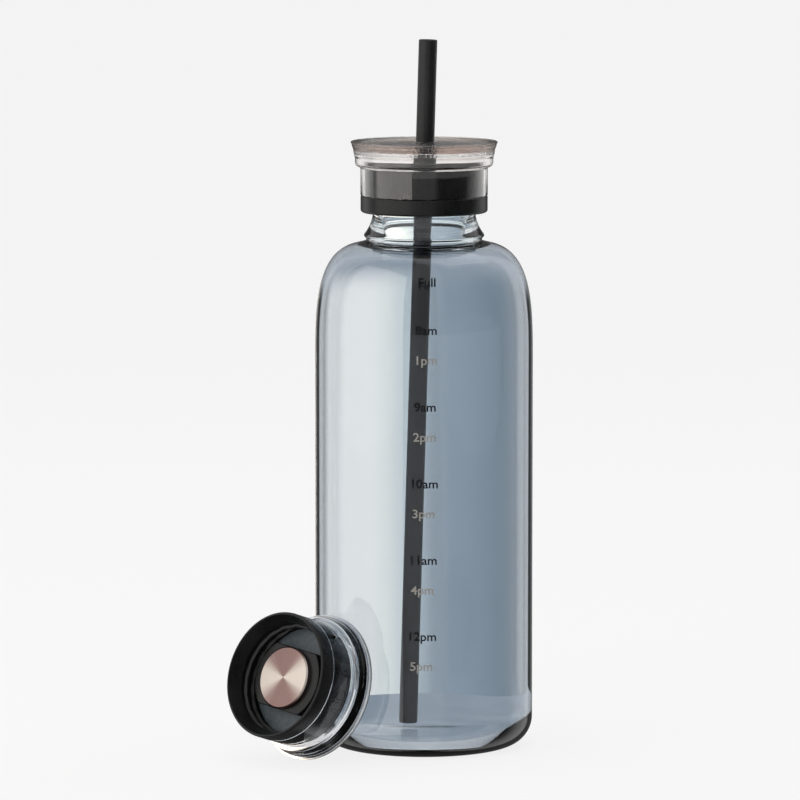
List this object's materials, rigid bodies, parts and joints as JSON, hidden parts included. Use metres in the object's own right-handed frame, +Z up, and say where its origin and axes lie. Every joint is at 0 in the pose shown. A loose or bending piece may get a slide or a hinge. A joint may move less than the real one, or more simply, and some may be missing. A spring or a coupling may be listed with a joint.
{
  "type": "water bottle",
  "caption": "Smoke-tinted glass water bottle with a wide shoulder, a screw-on clear and black straw lid with its straw, and a spare closed lid leaning against it.",
  "frame": {"origin": "centre of the bottle's flat base, on the surface it stands on", "axes": "+Z up along the bottle's axis; the straw leans in the XZ plane with its top towards +X; the hour marks face -Y"},
  "size_m": [0.119, 0.1085, 0.2771],
  "materials": {
    "smoke_glass": "smoke blue-grey borosilicate glass, polished",
    "clear_plastic": "clear colourless plastic, polished",
    "black_plastic": "satin black moulded plastic",
    "straw_plastic": "satin charcoal plastic tube",
    "grey_silicone": "slate grey silicone",
    "turned_steel": "stainless steel with circular turning marks",
    "hour_print": "dark ink printed on the glass"
  },
  "bodies": {
    "bottle": {"bottle_glass": "smoke_glass"},
    "lid_seal": {"straw_lid_gasket": "grey_silicone"},
    "straw_lid": {"straw_lid_shell": "clear_plastic", "straw_lid_cap": "black_plastic", "straw_grommet": "grey_silicone"},
    "straw": {"straw": "straw_plastic"},
    "spare_lid": {"spare_lid_shell": "clear_plastic", "spare_lid_cap": "black_plastic", "spare_lid_liner": "grey_silicone", "spare_lid_plug": "black_plastic", "spare_lid_disc": "turned_steel"}
  },
  "joints": [
    {"name": "lid_rise", "type": "slide", "parent": "bottle", "child": "lid_seal", "axis": [0, 0, 1], "range_m": [0, 0.0061]},
    {"name": "lid_turn", "type": "hinge", "parent": "lid_seal", "child": "straw_lid", "pos_m": [0, 0, 0.2098], "axis": [0, 0, 1], "range_deg": [0, 540]},
    {"name": "straw_pull", "type": "slide", "parent": "straw_lid", "child": "straw", "axis": [0.0288, 0, 0.9996], "range_m": [0, 0.2]},
    {"name": "spare_lid_lift", "type": "slide", "parent": "bottle", "child": "spare_lid", "axis": [-0.6402, -0.4798, 0.6], "range_m": [0, 0.12]}
  ],
  "couplings": [
    {"joint": "lid_rise", "follows": "lid_turn", "m_per_rad": 0.00063662}
  ]
}
